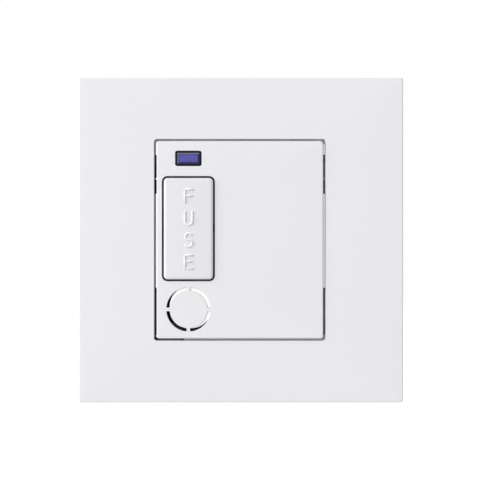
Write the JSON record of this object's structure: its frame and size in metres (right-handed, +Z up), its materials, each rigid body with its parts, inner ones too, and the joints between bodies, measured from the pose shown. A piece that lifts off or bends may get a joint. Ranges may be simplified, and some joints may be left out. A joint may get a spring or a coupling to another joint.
{
  "type": "fused spur unit",
  "caption": "Square white wall plate with a clip-on surround, a pull-out cartridge fuse carrier, an indicator lens and a knock-out flex outlet, wired from the rear.",
  "frame": {"origin": "halfway between the two fixing holes, in the plane of the wall's face", "axes": "+X right, +Y into the wall, +Z up; the front faces -Y"},
  "size_m": [0.086, 0.0319, 0.086],
  "materials": {
    "surround": "satin white urea moulding",
    "cover": "satin white urea moulding",
    "carrier": "satin white urea moulding",
    "support": "plain white nylon moulding",
    "housing": "plain dark grey nylon moulding",
    "ceramic": "plain glazed ceramic",
    "fuse_caps": "nickel-plated brass",
    "spring_bronze": "bare stamped bronze strip",
    "terminal_brass": "bare machined brass",
    "screws": "zinc-plated steel",
    "clamp": "plain white nylon",
    "lens": "polished blue-violet acrylic",
    "board": "lacquered circuit board",
    "led": "clear blue resin",
    "resistor": "lacquered resistor body",
    "live_lead": "brown wire insulation",
    "neutral_lead": "blue wire insulation"
  },
  "bodies": {
    "base": {"mounting_plate": "support", "front_cover": "cover", "rear_housing": "housing", "fuse_clip_supply": "spring_bronze", "fuse_clip_load": "spring_bronze", "live_in_terminal": "terminal_brass", "live_out_terminal": "terminal_brass", "neutral_in_terminal": "terminal_brass", "neutral_out_terminal": "terminal_brass", "earth_in_terminal": "terminal_brass", "earth_out_terminal": "terminal_brass", "neutral_link": "terminal_brass", "earth_link": "terminal_brass", "terminal_screws": "screws", "joining_screws": "screws", "cord_clamp": "clamp", "cord_clamp_screws": "screws", "indicator_lens": "lens", "lamp_board": "board", "indicator_led": "led", "dropper_resistor": "resistor", "lamp_lead_live": "live_lead", "lamp_lead_neutral": "neutral_lead"},
    "carrier": {"fuse_carrier": "carrier", "fuse_barrel": "ceramic", "fuse_cap_upper": "fuse_caps", "fuse_cap_lower": "fuse_caps"},
    "surround": {"surround_frame": "surround"}
  },
  "joints": [
    {"name": "carrier_pull", "type": "slide", "parent": "base", "child": "carrier", "axis": [0, -1, 0], "range_m": [0, 0.014]},
    {"name": "surround_pull", "type": "slide", "parent": "base", "child": "surround", "axis": [0, -1, 0], "range_m": [0, 0.012]}
  ]
}
